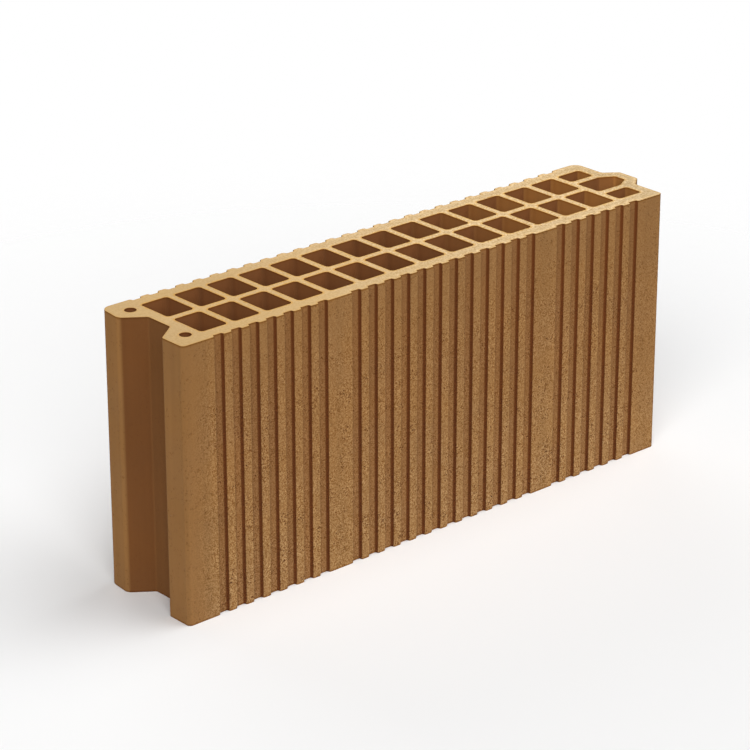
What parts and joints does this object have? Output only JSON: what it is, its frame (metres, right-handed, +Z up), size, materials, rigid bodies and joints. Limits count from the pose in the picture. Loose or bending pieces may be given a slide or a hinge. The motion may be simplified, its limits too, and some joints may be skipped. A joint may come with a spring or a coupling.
{
  "type": "hollow clay block",
  "caption": "Long, narrow fired clay partition block with through cells, fluted faces, a groove in one end and a hollow tongue on the other.",
  "frame": {"origin": "middle of the underside of the bounding box, on the web between the two rows of cells", "axes": "+X along the block from the grooved end to the tongued end, +Y across it from the face with two plain bands to the fully fluted face, +Z up along the cells"},
  "size_m": [0.51, 0.1, 0.225],
  "materials": {
    "fired_clay": "matte, unglazed, sandy"
  },
  "bodies": {
    "root": {"clay_block": "fired_clay"}
  },
  "joints": []
}
